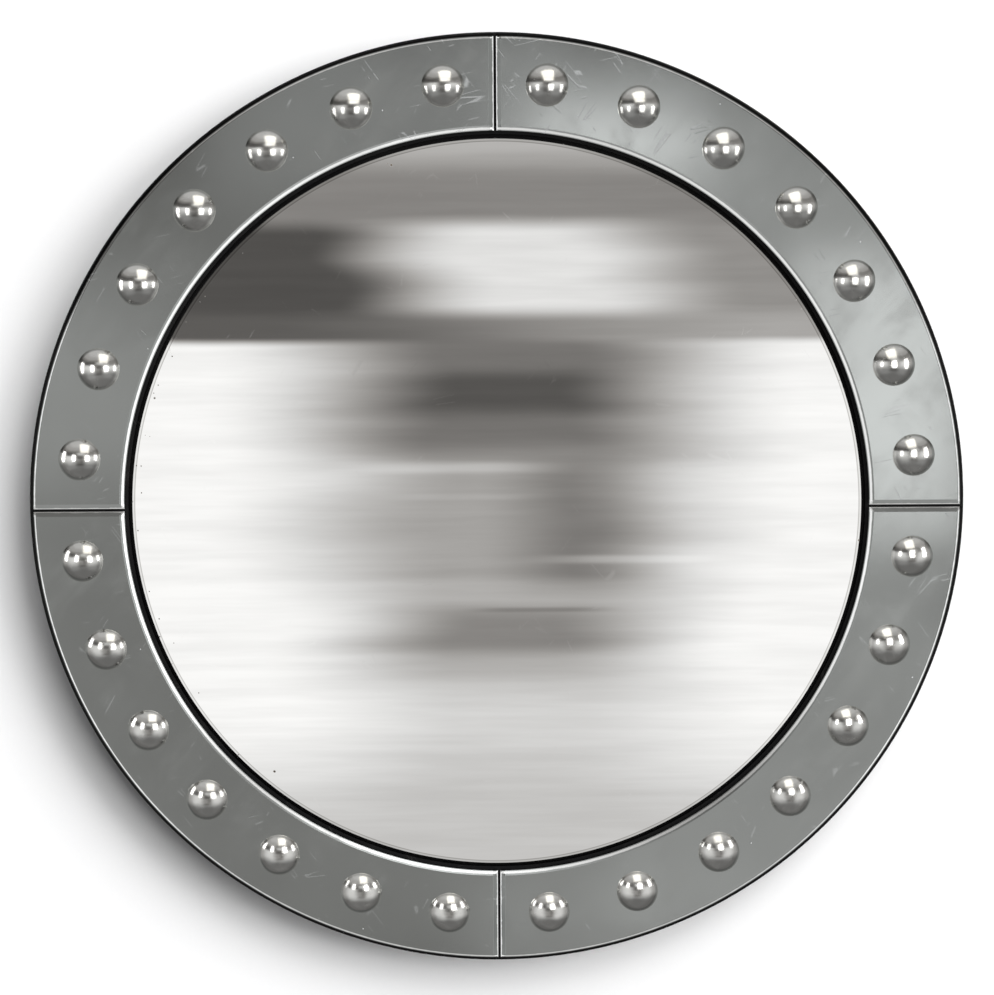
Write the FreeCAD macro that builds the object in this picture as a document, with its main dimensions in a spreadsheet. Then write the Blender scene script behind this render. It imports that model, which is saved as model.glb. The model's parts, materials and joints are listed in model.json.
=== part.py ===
import FreeCAD, Part

import math
import os

import Sketcher

# A round convex mirror of the butler's kind. A black board carries four quarter-ring mirror plates, held by
# dome-headed studs, and in the middle a bulged mirror dish. Two hinged rings at the back take the wall hooks.
#
# Millimetres. +Z is up and the mirror looks along -Y. The origin is the centre of the board's flat back.

V = FreeCAD.Vector
X_AXIS, Y_AXIS, Z_AXIS = V(1, 0, 0), V(0, 1, 0), V(0, 0, 1)
# a cylinder is made along +Z, and this turns it to point out of the mirror's front
TOWARDS_FRONT = FreeCAD.Rotation(X_AXIS, 90)

doc = FreeCAD.newDocument("ConvexMirror")

# ---------------------------------------------------------------- driving dimensions

SIZES = [
    # board
    ("board_diameter", "750", "overall size of the mirror"),
    ("board_thickness", "15", "painted plywood"),
    # mirror plates of the frame
    ("plate_margin", "2", "black edge of the board outside the plates"),
    ("plate_width", "74.5", "from a plate's outer arc to its inner arc"),
    ("plate_thickness", "5", "mirror glass"),
    ("plate_gap", "2.2", "black seam between two plates"),
    ("bevel_width", "3.8", "polished bevel, seen from the front"),
    ("bevel_depth", "1.4", "how far the bevel falls"),
    # dish
    ("rim_gap", "5.5", "black ring between the plates and the dish"),
    ("dish_bulge", "50", "rise of its front face above the rim"),
    ("dish_glass", "4", "glass thickness"),
    ("dish_setback", "3", "rim behind the face of the plates"),
    ("dish_side_clearance", "3", "rim to the wall of its seat"),
    # tape pads under the rim of the dish
    ("pad_count", "16", "round the rim"),
    ("pad_length", "60", "along the rim"),
    ("pad_width", "12", "across the rim"),
    ("pad_thickness", "2", "foam tape"),
    # dome studs
    ("studs_per_plate", "7", "evenly spaced"),
    ("stud_pitch_angle", "12.67", "degrees from one stud to the next"),
    ("stud_diameter", "33.5", "dome, at its foot"),
    ("stud_height", "9", "dome above the plate"),
    # strap hangers
    ("hanger_spacing", "400", "between the two rings"),
    ("hanger_rise", "215", "ring's pin above the centre"),
    ("strap_width", "12", "steel strip"),
    ("strap_gauge", "1.2", "one layer of the strip"),
    ("strap_length", "48", "from the pin to the tail"),
    ("strap_fold", "7", "from the pin to where the layers meet"),
    ("strap_corner", "3", "rounded corners of the tail"),
    ("first_screw", "20.5", "from the pin, clear of the ring when it hangs down"),
    ("screw_step", "18", "from one hanger screw to the next"),
    ("pin_diameter", "3", "straight bar of the ring"),
    ("pin_clearance", "0.08", "round the bar"),
    ("ring_section", "3", "square section of the bow"),
    ("ring_opening", "14", "inside width of the ring"),
    ("ring_leg", "5", "from the pin to where the bow begins"),
    ("ring_lean", "8", "degrees off plumb, where the hanging ring rests over the strap"),
    ("screw_hole", "3.6", "for a 3.2 mm wood screw"),
    # wall bumpers
    ("bumper_side", "20", "square rubber pad"),
    ("bumper_thickness", "7", "stands the mirror off the wall"),
    ("bumper_offset", "26.3591", "from the circle through the hangers' pins out to the bumpers"),
    # worked out from the sizes above
    ("plate_outer_diameter", "=board_diameter - 2 * plate_margin", "across the four plates"),
    ("plate_inner_diameter", "=plate_outer_diameter - 2 * plate_width", "opening inside the four plates"),
    ("dish_diameter", "=plate_inner_diameter - 2 * rim_gap", "bulged mirror, across its rim"),
    ("stud_circle_diameter", "=plate_outer_diameter - plate_width", "along the middle of the plates"),
    ("dish_radius", "=(dish_diameter^2 / 4 + dish_bulge^2) / (2 * dish_bulge)", "of its front face"),
    ("dish_inner_radius", "=dish_radius - dish_glass", "of its back face"),
    ("dish_rim_drop", "=sqrt(dish_radius^2 - dish_diameter^2 / 4)", "sphere's centre to the rim's front"),
    ("dish_back_drop", "=sqrt(dish_inner_radius^2 - dish_diameter^2 / 4)", "the same, to the rim's back"),
    ("dish_edge", "=dish_rim_drop - dish_back_drop", "height of the rim's edge"),
    ("face_depth", "=board_thickness + plate_thickness", "front of the plates"),
    ("seat_depth", "=pad_thickness + dish_edge + dish_setback - plate_thickness", "depth of the dish's seat"),
    ("stud_radius", "=(stud_diameter^2 / 4 + stud_height^2) / (2 * stud_height)", "of the dome"),
    ("first_stud_angle", "=45 - (studs_per_plate - 1) / 2 * stud_pitch_angle", "from the plate's seam"),
    ("knuckle_radius", "=pin_diameter / 2 + pin_clearance + strap_gauge", "outside of the strap's fold"),
    ("hanger_reach", "=sqrt(hanger_spacing^2 / 4 + hanger_rise^2)", "from the centre to a hanger's pin"),
    ("bumper_reach", "=hanger_reach + bumper_offset", "from the centre to a bumper"),
]

sheet = doc.addObject("Spreadsheet::Sheet", "Sizes")
for row, (alias, value, meaning) in enumerate(SIZES, start=1):
    sheet.set("A%d" % row, meaning)
    sheet.set("B%d" % row, value)
    sheet.setAlias("B%d" % row, alias)
doc.recompute()


def size(alias):
    return float(sheet.get(alias))


def bind(thing, **expressions):
    """Tie properties of an object to cells. A double underscore in a name stands for a dot."""
    for name, expression in expressions.items():
        thing.setExpression(name.replace("__", "."), expression)


# ---------------------------------------------------------------- sketches

def new_body(label):
    body = doc.addObject("PartDesign::Body", label)
    body.Label = label
    return body


def new_sketch(body, name, plane):
    sketch = body.newObject("Sketcher::SketchObject", name)
    origin_plane = [f for f in body.Origin.OriginFeatures if f.Role == plane][0]
    sketch.AttachmentSupport = [(origin_plane, "")]
    sketch.MapMode = "FlatFace"
    return sketch


def dimension(sketch, name, expression, *constraint):
    """Add a constraint whose value comes from the sheet."""
    index = sketch.addConstraint(Sketcher.Constraint(*constraint))
    sketch.renameConstraint(index, name)
    sketch.setExpression("Constraints." + name, expression)


def add_circle(sketch, name, diameter, across=None, up=None):
    """A circle in a sketch, on the sketch's origin unless it is given a place."""
    circle = sketch.addGeometry(Part.Circle(V(1, 1, 0), Z_AXIS, 1))
    dimension(sketch, name + "_diameter", diameter, "Diameter", circle, 2)
    if across is None:
        sketch.addConstraint(Sketcher.Constraint("PointOnObject", circle, 3, -2))
    else:
        dimension(sketch, name + "_across", across, "DistanceX", -1, 1, circle, 3, 1)
    if up is None:
        sketch.addConstraint(Sketcher.Constraint("PointOnObject", circle, 3, -1))
    else:
        dimension(sketch, name + "_up", up, "DistanceY", -1, 1, circle, 3, 1)


def join(sketch, *pairs):
    for first, first_end, second, second_end in pairs:
        sketch.addConstraint(Sketcher.Constraint("Coincident", first, first_end, second, second_end))


def pad(body, name, sketch, length, both_ways=False):
    feature = body.newObject("PartDesign::Pad", name)
    feature.Profile = sketch
    feature.Midplane = both_ways
    bind(feature, Length=length)
    return feature


def pocket(body, name, sketch, depth=None):
    feature = body.newObject("PartDesign::Pocket", name)
    feature.Profile = sketch
    if depth is None:
        feature.Type = "ThroughAll"
        feature.Midplane = True
    else:
        bind(feature, Length=depth)
    return feature


def body_tip(body, feature):
    body.Tip = feature
    doc.recompute()


def edges_where(shape, test):
    """Names of the edges whose ends and middle all pass the test."""
    names = []
    for number, edge in enumerate(shape.Edges, start=1):
        middle = edge.valueAt((edge.FirstParameter + edge.LastParameter) / 2)
        points = [vertex.Point for vertex in edge.Vertexes] + [middle]
        if all(test(point) for point in points):
            names.append("Edge%d" % number)
    return names


# ---------------------------------------------------------------- backing board

def make_board():
    """Painted disc with a shallow round seat for the dish in its face."""
    board = new_body("backing_board")
    outline = new_sketch(board, "board_outline", "XZ_Plane")
    add_circle(outline, "board", "Sizes.board_diameter")
    pad(board, "board_disc", outline, "Sizes.board_thickness")

    seat = new_sketch(board, "seat_outline", "XZ_Plane")
    bind(seat, AttachmentOffset__Base__z="Sizes.board_thickness")
    add_circle(seat, "seat", "Sizes.dish_diameter + 2 * Sizes.dish_side_clearance")
    body_tip(board, pocket(board, "dish_seat", seat, "Sizes.seat_depth"))
    return board


# ---------------------------------------------------------------- mirror plates

QUARTERS = [
    ("frame_plate_top_right", 0),
    ("frame_plate_bottom_right", 90),
    ("frame_plate_bottom_left", 180),
    ("frame_plate_top_left", 270),
]


def draw_quarter_ring(sketch):
    """Outline of one plate, clear of the two seam lines by half the gap."""
    outside, inside = size("plate_outer_diameter") / 2, size("plate_inner_diameter") / 2
    gap = size("plate_gap") / 2
    start, end = 2 * gap / outside, math.pi / 2 - 2 * gap / outside
    outer = sketch.addGeometry(Part.ArcOfCircle(Part.Circle(V(0, 0, 0), Z_AXIS, outside), start, end))
    inner = sketch.addGeometry(Part.ArcOfCircle(Part.Circle(V(0, 0, 0), Z_AXIS, inside), start, end))
    lower = sketch.addGeometry(Part.LineSegment(V(inside, gap, 0), V(outside, gap, 0)))
    upper = sketch.addGeometry(Part.LineSegment(V(gap, inside, 0), V(gap, outside, 0)))
    join(sketch, (outer, 3, -1, 1), (inner, 3, -1, 1))
    join(sketch, (lower, 1, inner, 1), (lower, 2, outer, 1), (upper, 1, inner, 2), (upper, 2, outer, 2))
    sketch.addConstraint(Sketcher.Constraint("Horizontal", lower))
    sketch.addConstraint(Sketcher.Constraint("Vertical", upper))
    dimension(sketch, "outer_radius", "Sizes.plate_outer_diameter / 2", "Radius", outer, outside)
    dimension(sketch, "inner_radius", "Sizes.plate_inner_diameter / 2", "Radius", inner, inside)
    dimension(sketch, "gap_below", "Sizes.plate_gap / 2", "DistanceY", -1, 1, lower, 1, gap)
    dimension(sketch, "gap_beside", "Sizes.plate_gap / 2", "DistanceX", -1, 1, upper, 1, gap)


def make_plate(label, turn):
    """Quarter ring of mirror glass with a polished bevel all round its face."""
    plate = new_body(label)
    outline = new_sketch(plate, label + "_outline", "XZ_Plane")
    draw_quarter_ring(outline)
    glass = pad(plate, label + "_glass", outline, "Sizes.plate_thickness")
    doc.recompute()

    front = size("plate_thickness")
    bevel = plate.newObject("PartDesign::Chamfer", label + "_bevel")
    bevel.Base = (glass, edges_where(glass.Shape, lambda p: abs(p.y + front) < 1e-6))
    bevel.ChamferType = "Two distances"
    bind(bevel, Size="Sizes.bevel_depth", Size2="Sizes.bevel_width")
    body_tip(plate, bevel)

    plate.Placement.Rotation = FreeCAD.Rotation(Y_AXIS, turn)
    bind(plate, Placement__Base__y="-Sizes.board_thickness")
    return plate


# ---------------------------------------------------------------- bulged dish

def sideways_sphere(name, radius, centre_y):
    """A sphere with its poles at the sides and its seam at the back, so its front is one smooth face."""
    poles_to_the_sides = FreeCAD.Rotation(Y_AXIS, 90)
    seam_to_the_back = FreeCAD.Rotation(X_AXIS, 90)
    sphere = doc.addObject("Part::Sphere", name)
    sphere.Placement.Rotation = seam_to_the_back.multiply(poles_to_the_sides)
    bind(sphere, Radius=radius, Placement__Base__y=centre_y)
    return sphere


def make_dish():
    """Slumped glass: the space between two spheres with one centre, cut round at the rim."""
    centre = "Sizes.dish_rim_drop - Sizes.face_depth + Sizes.dish_setback"
    front = sideways_sphere("dish_front", "Sizes.dish_radius", centre)
    back = sideways_sphere("dish_back", "Sizes.dish_inner_radius", centre)
    blank = doc.addObject("Part::Cylinder", "dish_blank")
    blank.Placement.Rotation = TOWARDS_FRONT
    bind(blank, Radius="Sizes.dish_diameter / 2", Height="Sizes.dish_bulge + 3 * Sizes.dish_edge",
         Placement__Base__y="Sizes.dish_setback - Sizes.face_depth + 2 * Sizes.dish_edge")
    domed = doc.addObject("Part::Common", "dish_domed")
    domed.Base = blank
    domed.Tool = front
    dish = doc.addObject("Part::Cut", "convex_mirror")
    dish.Base = domed
    dish.Tool = back
    dish.Label = "convex_mirror"
    return dish


def make_rim_pads():
    """Short foam pads between the dish's rim and the floor of its seat."""
    length, width, thickness = size("pad_length"), size("pad_width"), size("pad_thickness")
    floor = size("board_thickness") - size("seat_depth")
    count = int(size("pad_count"))
    # the outer corners of each straight pad end under the rim's edge
    reach = math.sqrt(size("dish_diameter") ** 2 / 4 - length ** 2 / 4)
    pads = []
    for number in range(count):
        strip = Part.makeBox(length, thickness, width, V(-length / 2, -floor - thickness, reach - width))
        strip.rotate(V(0, 0, 0), Y_AXIS, 360.0 * number / count)
        pads.append(strip)
    return group("rim_tape_pads", pads)


# ---------------------------------------------------------------- studs

def make_studs():
    """Chromed dome bonded to the glass, repeated along every plate."""
    dome_ball = sideways_sphere("stud_ball", "Sizes.stud_radius", "Sizes.stud_radius - Sizes.stud_height")
    ahead_of_plate = doc.addObject("Part::Cylinder", "stud_blank")
    ahead_of_plate.Placement.Rotation = TOWARDS_FRONT
    bind(ahead_of_plate, Radius="Sizes.stud_diameter", Height="2 * Sizes.stud_height")
    dome = doc.addObject("Part::Common", "stud_dome")
    dome.Base = ahead_of_plate
    dome.Tool = dome_ball
    doc.recompute()

    studs = []
    for _, turn in QUARTERS:
        for number in range(int(size("studs_per_plate"))):
            angle = size("first_stud_angle") + number * size("stud_pitch_angle")
            one = dome.Shape.copy()
            one.translate(V(size("stud_circle_diameter") / 2, -size("face_depth"), 0))
            one.rotate(V(0, 0, 0), Y_AXIS, turn - angle)
            studs.append(one)
    return group("dome_studs", studs)


def group(label, shapes):
    """Several equal pieces kept as separate solids under one name."""
    feature = doc.addObject("Part::Feature", label)
    feature.Label = label
    feature.Shape = Part.makeCompound(shapes)
    return feature


# ---------------------------------------------------------------- strap hangers

SIDES = [("left", -1), ("right", 1)]


def place_hanger(body, side, height):
    bind(body, Placement__Base__x="%d * Sizes.hanger_spacing / 2" % side, Placement__Base__y=height,
         Placement__Base__z="Sizes.hanger_rise")


def draw_strap(sketch):
    """Side view of the folded strip, with the pin's centre on the sketch's origin."""
    radius, layers = size("knuckle_radius"), 2 * size("strap_gauge")
    tail_end, meet, face = -size("strap_length"), -size("strap_fold"), layers - radius
    fold = sketch.addGeometry(Part.ArcOfCircle(Part.Circle(V(0, 0, 0), Z_AXIS, radius), 0, math.pi))
    flat = sketch.addGeometry(Part.LineSegment(V(-radius, 0, 0), V(-radius, tail_end, 0)))
    tail = sketch.addGeometry(Part.LineSegment(V(-radius, tail_end, 0), V(face, tail_end, 0)))
    upper = sketch.addGeometry(Part.LineSegment(V(face, tail_end, 0), V(face, meet, 0)))
    slope = sketch.addGeometry(Part.LineSegment(V(face, meet, 0), V(radius, 0, 0)))
    join(sketch, (fold, 3, -1, 1), (fold, 2, flat, 1), (flat, 2, tail, 1), (tail, 2, upper, 1),
         (upper, 2, slope, 1), (slope, 2, fold, 1))
    sketch.addConstraint(Sketcher.Constraint("PointOnObject", fold, 1, -1))
    sketch.addConstraint(Sketcher.Constraint("PointOnObject", fold, 2, -1))
    sketch.addConstraint(Sketcher.Constraint("Vertical", flat))
    sketch.addConstraint(Sketcher.Constraint("Horizontal", tail))
    sketch.addConstraint(Sketcher.Constraint("Vertical", upper))
    dimension(sketch, "fold_radius", "Sizes.knuckle_radius", "Radius", fold, radius)
    dimension(sketch, "flat_length", "Sizes.strap_length", "DistanceY", flat, 2, flat, 1, -tail_end)
    dimension(sketch, "tail_layers", "2 * Sizes.strap_gauge", "DistanceX", tail, 1, tail, 2, layers)
    dimension(sketch, "layers_meet", "Sizes.strap_fold", "DistanceY", slope, 1, -1, 1, -meet)
    add_circle(sketch, "pin_bore", "Sizes.pin_diameter + 2 * Sizes.pin_clearance")


def make_strap(side_name, side):
    """Steel strip folded round the ring's pin and screwed to the board."""
    strap = new_body("hanger_strap_" + side_name)
    profile = new_sketch(strap, strap.Label + "_profile", "YZ_Plane")
    draw_strap(profile)
    strip = pad(strap, strap.Label + "_strip", profile, "Sizes.strap_width", both_ways=True)
    doc.recompute()

    tail = -size("strap_length")
    half_width = size("strap_width") / 2
    corners = strap.newObject("PartDesign::Fillet", strap.Label + "_corners")
    corners.Base = (strip, edges_where(strip.Shape, lambda p: abs(p.z - tail) < 1e-6
                                       and abs(abs(p.x) - half_width) < 1e-6))
    bind(corners, Radius="Sizes.strap_corner")
    body_tip(strap, corners)

    holes = new_sketch(strap, strap.Label + "_hole_centres", "XZ_Plane")
    add_circle(holes, "upper", "Sizes.screw_hole", up="-Sizes.first_screw")
    add_circle(holes, "lower", "Sizes.screw_hole", up="-Sizes.first_screw - Sizes.screw_step")
    body_tip(strap, pocket(strap, strap.Label + "_holes", holes))
    place_hanger(strap, side, "Sizes.knuckle_radius")
    return strap


def draw_bow(sketch):
    """Front view of the ring's bow: two legs up from the pin and a half circle over them."""
    half, section, leg = size("ring_opening") / 2, size("ring_section"), size("ring_leg")
    wide, foot = half + section, -section / 2
    inner = sketch.addGeometry(Part.ArcOfCircle(Part.Circle(V(0, leg, 0), Z_AXIS, half), 0, math.pi))
    outer = sketch.addGeometry(Part.ArcOfCircle(Part.Circle(V(0, leg, 0), Z_AXIS, wide), 0, math.pi))
    sketch.addConstraint(Sketcher.Constraint("PointOnObject", inner, 3, -2))
    join(sketch, (outer, 3, inner, 3))
    dimension(sketch, "leg", "Sizes.ring_leg", "DistanceY", -1, 1, inner, 3, leg)
    dimension(sketch, "inner_radius", "Sizes.ring_opening / 2", "Radius", inner, half)
    dimension(sketch, "outer_radius", "Sizes.ring_opening / 2 + Sizes.ring_section", "Radius", outer, wide)
    for side_name, side in SIDES:
        arc_end = 1 if side > 0 else 2
        inner_leg = sketch.addGeometry(Part.LineSegment(V(side * half, foot, 0), V(side * half, leg, 0)))
        outer_leg = sketch.addGeometry(Part.LineSegment(V(side * wide, foot, 0), V(side * wide, leg, 0)))
        end = sketch.addGeometry(Part.LineSegment(V(side * half, foot, 0), V(side * wide, foot, 0)))
        join(sketch, (inner_leg, 1, end, 1), (outer_leg, 1, end, 2))
        for leg_line, arc in ((inner_leg, inner), (outer_leg, outer)):
            sketch.addConstraint(Sketcher.Constraint("Tangent", leg_line, 2, arc, arc_end))
            sketch.addConstraint(Sketcher.Constraint("Vertical", leg_line))
        sketch.addConstraint(Sketcher.Constraint("Horizontal", end))
        dimension(sketch, side_name + "_foot", "Sizes.ring_section / 2", "DistanceY", end, 1, -1, 1, -foot)


def make_ring(side_name, side):
    """Ring that takes the wall hook: a square bow on a round pin that turns in the strap's fold."""
    ring = new_body("hanger_ring_" + side_name)
    bow = new_sketch(ring, ring.Label + "_bow", "XZ_Plane")
    draw_bow(bow)
    pad(ring, ring.Label + "_bow_bar", bow, "Sizes.ring_section", both_ways=True)
    pin = new_sketch(ring, ring.Label + "_pin", "YZ_Plane")
    add_circle(pin, "pin", "Sizes.pin_diameter")
    body_tip(ring, pad(ring, ring.Label + "_pin_bar", pin, "Sizes.ring_opening + Sizes.ring_section", True))
    place_hanger(ring, side, "Sizes.knuckle_radius")
    ring.Placement.Rotation = FreeCAD.Rotation(X_AXIS, 180)
    bind(ring, Placement__Rotation__Angle="(180 + Sizes.ring_lean) * 1 deg")
    return ring


# ---------------------------------------------------------------- wall bumpers

def make_bumpers():
    """Four rubber pads that stand the board off the wall, clear of the hangers."""
    side, thickness, reach = size("bumper_side"), size("bumper_thickness"), size("bumper_reach")
    bumpers = []
    for angle in (45, 135, 225, 315):
        one = Part.makeBox(side, thickness, side, V(-side / 2, 0, reach - side / 2))
        one.rotate(V(0, 0, 0), Y_AXIS, angle)
        bumpers.append(one)
    return group("wall_bumpers", bumpers)


# ---------------------------------------------------------------- whole mirror

nodes = [make_board(), make_dish(), make_rim_pads(), make_studs(), make_bumpers()]
nodes += [make_plate(label, turn) for label, turn in QUARTERS]
for side_name, side in SIDES:
    nodes += [make_strap(side_name, side), make_ring(side_name, side)]
doc.recompute()

for thing in doc.Objects:
    if "Invalid" in thing.State or "Error" in thing.State:
        raise RuntimeError("%s did not build: %s" % (thing.Name, thing.State))
for node in nodes:
    if node.Shape.isNull() or not node.Shape.isValid():
        raise RuntimeError("%s has no valid shape" % node.Label)

os.makedirs("parts", exist_ok=True)
for node in nodes:
    node.Shape.exportStep("parts/%s.step" % node.Label)
    print("%-26s %2d solids, %10.1f cubic mm" % (node.Label, len(node.Shape.Solids), node.Shape.Volume))
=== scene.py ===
"""Looks of a round convex butlers mirror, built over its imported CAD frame.

Metres. +Z is up and the mirror looks along -Y, so a depth in front of the board is a negative y.
"""
import json
import math

import bmesh
import bpy
import numpy as np
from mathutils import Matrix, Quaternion, Vector


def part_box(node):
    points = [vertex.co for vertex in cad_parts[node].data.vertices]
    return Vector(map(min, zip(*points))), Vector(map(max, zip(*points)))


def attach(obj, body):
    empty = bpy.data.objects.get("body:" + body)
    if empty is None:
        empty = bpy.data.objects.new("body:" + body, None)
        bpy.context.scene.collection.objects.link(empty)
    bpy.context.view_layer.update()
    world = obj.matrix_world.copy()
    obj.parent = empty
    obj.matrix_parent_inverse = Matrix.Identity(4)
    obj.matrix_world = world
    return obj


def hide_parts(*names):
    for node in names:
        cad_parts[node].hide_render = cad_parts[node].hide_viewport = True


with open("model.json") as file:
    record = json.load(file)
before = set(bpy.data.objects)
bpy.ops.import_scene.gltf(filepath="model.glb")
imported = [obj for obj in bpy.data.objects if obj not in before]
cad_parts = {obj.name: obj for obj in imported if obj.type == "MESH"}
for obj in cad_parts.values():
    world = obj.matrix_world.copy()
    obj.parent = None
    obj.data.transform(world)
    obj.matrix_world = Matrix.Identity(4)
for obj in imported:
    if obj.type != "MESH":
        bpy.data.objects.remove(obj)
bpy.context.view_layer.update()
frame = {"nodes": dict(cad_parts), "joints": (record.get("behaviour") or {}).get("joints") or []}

MM = 0.001


def box_of(node):
    """Lowest and highest corner of a CAD node as arrays."""
    low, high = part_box(node)
    return np.array(low), np.array(high)


# ---------------------------------------------------------------- sizes, from the frame where it has them

BOARD_LOW, BOARD_HIGH = box_of("backing_board")
PLATE_LOW, PLATE_HIGH = box_of("frame_plate_top_right")
DISH_LOW, DISH_HIGH = box_of("convex_mirror")
STUDS_LOW = box_of("dome_studs")[0]
WALL = box_of("wall_bumpers")[1][1]

BOARD_RADIUS = BOARD_HIGH[2]
BOARD_FACE = BOARD_LOW[1]
EDGE_ROUND = 0.8 * MM
PLATE_OUTER = PLATE_HIGH[0]
PLATE_WIDTH = 74.5 * MM
PLATE_INNER = PLATE_OUTER - PLATE_WIDTH
HALF_SEAM = PLATE_LOW[0]
PLATE_FACE = PLATE_LOW[1]
BEVEL_WIDTH = 3.8 * MM
BEVEL_DEPTH = 1.4 * MM
DISH_RADIUS = DISH_HIGH[2]
DISH_APEX = DISH_LOW[1]
DISH_BACK = DISH_HIGH[1]
DISH_SETBACK = 3 * MM
DISH_RIM_FRONT = PLATE_FACE + DISH_SETBACK
DISH_GLASS = 4 * MM
SEAT_CLEARANCE = 3 * MM
SEAT_RADIUS = DISH_RADIUS + SEAT_CLEARANCE
PAD_THICKNESS = 2 * MM
SEAT_FLOOR = DISH_BACK + PAD_THICKNESS
STUD_CIRCLE = (PLATE_OUTER + PLATE_INNER) / 2
STUD_FOOT = 16.75 * MM
STUD_HEIGHT = PLATE_FACE - STUDS_LOW[1]
STUDS_PER_PLATE = 7
STUD_PITCH = math.radians(12.67)
BUMPER_SIDE = 20 * MM
BUMPER_REACH = 320 * MM
BUMPER_ANGLES = (45, 135, 225, 315)
STRAP_FACE = 2.4 * MM
SCREW_DROPS = (20.5 * MM, 38.5 * MM)
WIRE_RADIUS = 1.5 * MM
RING_HALF = 8.5 * MM
RING_LEG = 5 * MM
RING_LEAN = math.radians(8)
HINGES = {joint["child"]: joint["pos_m"] for joint in frame["joints"]}

# ---------------------------------------------------------------- meshes


def new_piece(name, points, faces, material, crease=30, body="mirror", replaces=()):
    """Closed mesh at the origin, faces turned outwards, smooth where they meet under crease degrees."""
    mesh = bpy.data.meshes.new(name)
    mesh.from_pydata(np.asarray(points).tolist(), [], [tuple(int(v) for v in face) for face in faces])
    work = bmesh.new()
    work.from_mesh(mesh)
    bmesh.ops.remove_doubles(work, verts=work.verts, dist=1e-7)
    bmesh.ops.recalc_face_normals(work, faces=work.faces)
    work.to_mesh(mesh)
    work.free()
    mesh.polygons.foreach_set("use_smooth", np.ones(len(mesh.polygons), bool))
    mesh.set_sharp_from_angle(angle=math.radians(crease))
    mesh.materials.append(material)
    piece = bpy.data.objects.new(name, mesh)
    bpy.context.scene.collection.objects.link(piece)
    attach(piece, body)
    if replaces:
        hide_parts(*replaces)
    return piece


def grid_faces(rows, columns, close_rows=False, close_columns=False):
    """Quads of a grid of points that is numbered row by row and may be closed round either way."""
    row, column = np.meshgrid(np.arange(rows - (not close_rows)), np.arange(columns - (not close_columns)),
                              indexing="ij")
    row, column = row.ravel(), column.ravel()
    next_row, next_column = (row + 1) % rows, (column + 1) % columns
    return np.c_[row * columns + column, row * columns + next_column,
                 next_row * columns + next_column, next_row * columns + column]


def circle_outline(turns):
    """Unit circle in the XZ plane."""
    angle = np.linspace(0, 2 * math.pi, turns, endpoint=False)
    return np.c_[np.cos(angle), np.sin(angle)]


def square_outline(turns, power=7.0):
    """Unit superellipse |x|^power + |z|^power = 1: a square with soft corners."""
    cosine, sine = circle_outline(turns).T
    reach = (np.abs(cosine) ** power + np.abs(sine) ** power) ** (-1 / power)
    return np.c_[cosine * reach, sine * reach]


def turned(profile, outline):
    """Points and faces of an outline carried along a profile of (radius, y), closed by a fan at each end.

    The point of outline (u, v) at profile (radius, y) is (radius u, y, radius v).
    """
    profile = np.asarray(profile, float)
    turns = len(outline)
    points = np.stack([np.outer(profile[:, 0], outline[:, 0]), np.repeat(profile[:, 1:2], turns, axis=1),
                       np.outer(profile[:, 0], outline[:, 1])], axis=-1).reshape(-1, 3)
    faces = grid_faces(len(profile), turns, close_columns=True).tolist()
    ends = [np.arange(turns), np.arange(turns) + (len(profile) - 1) * turns]
    centres = np.array([[0, profile[0, 1], 0], [0, profile[-1, 1], 0]])
    for number, ring in enumerate(ends):
        tip = np.full(turns, len(points) + number)
        faces += np.c_[ring, np.roll(ring, -1), tip].tolist()
    return np.vstack([points, centres]), faces


def corner(start, through, end, steps=5):
    """Rounded corner of a profile: the quadratic curve from start to end, pulled towards through."""
    t = np.linspace(0, 1, steps)[:, None]
    start, through, end = (np.array(point, float) for point in (start, through, end))
    return ((1 - t) ** 2 * start + 2 * t * (1 - t) * through + t ** 2 * end).tolist()


def make_board(material):
    """Disc with a shallow seat for the dish and a slightly rounded outer edge."""
    edge = BOARD_RADIUS - EDGE_ROUND
    profile = [(SEAT_RADIUS * 0.02, SEAT_FLOOR), (SEAT_RADIUS, SEAT_FLOOR), (SEAT_RADIUS, BOARD_FACE)]
    profile += corner((edge, BOARD_FACE), (BOARD_RADIUS, BOARD_FACE),
                      (BOARD_RADIUS, BOARD_FACE + EDGE_ROUND))
    profile += corner((BOARD_RADIUS, -EDGE_ROUND), (BOARD_RADIUS, 0), (edge, 0))
    profile += [(BOARD_RADIUS * 0.02, 0)]
    points, faces = turned(profile, circle_outline(360))
    return new_piece("painted_board", points, faces, material, 25,
                     replaces=("backing_board",))


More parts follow.
